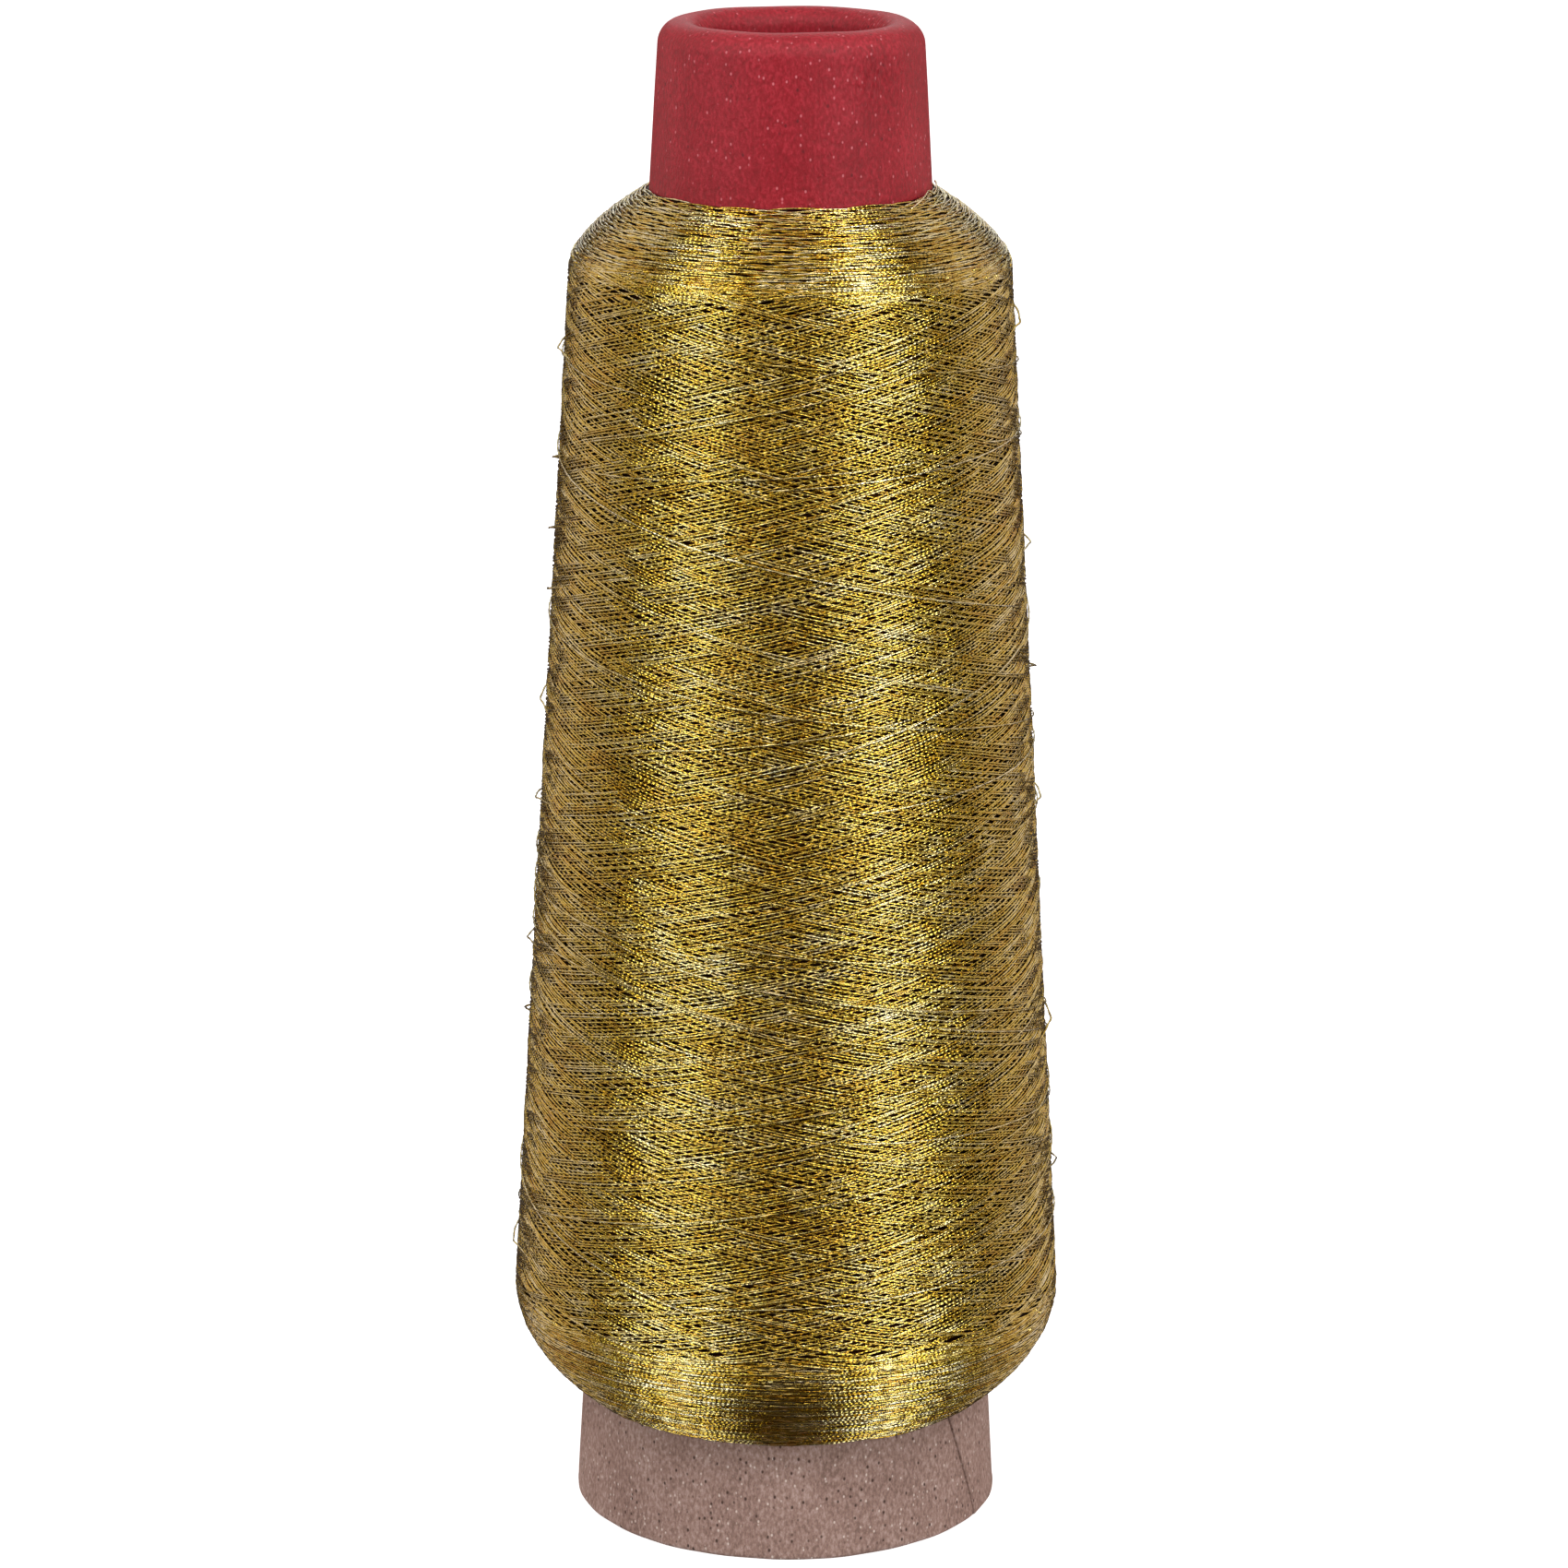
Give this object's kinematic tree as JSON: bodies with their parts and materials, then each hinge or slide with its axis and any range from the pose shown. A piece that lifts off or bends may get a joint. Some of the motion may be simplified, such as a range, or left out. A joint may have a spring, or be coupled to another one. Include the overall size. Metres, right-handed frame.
{
  "type": "cone of thread",
  "caption": "Paper cone cross-wound with metallic thread, with a curled nose and a hollow tapered core that drops over a thread stand's peg.",
  "frame": {"origin": "centre of the cone's base, on the plane that it stands on", "axes": "+Z along the cone's axis from the base up to the nose; -Y is the side seen from the front; +X to the right of it"},
  "size_m": [0.0616, 0.0614, 0.17],
  "materials": {
    "board_liner": "matte",
    "recycled_board": "matte",
    "dyed_board": "matte",
    "bedded_thread": "satin",
    "loose_thread": "satin"
  },
  "bodies": {
    "root": {"inner_ply": "board_liner", "middle_ply": "recycled_board", "outer_ply": "recycled_board", "dyed_nose": "dyed_board", "thread_layer_1": "bedded_thread", "thread_layer_2": "bedded_thread", "thread_layer_3": "bedded_thread", "thread_layer_4": "bedded_thread", "thread_layer_5": "bedded_thread", "last_traverse_up": "loose_thread", "last_traverse_down": "loose_thread", "slack_turn_1": "loose_thread", "slack_turn_2": "loose_thread", "slack_turn_3": "loose_thread", "slack_turn_4": "loose_thread", "slack_turn_5": "loose_thread", "slack_turn_6": "loose_thread", "nose_strand": "loose_thread"}
  },
  "joints": []
}
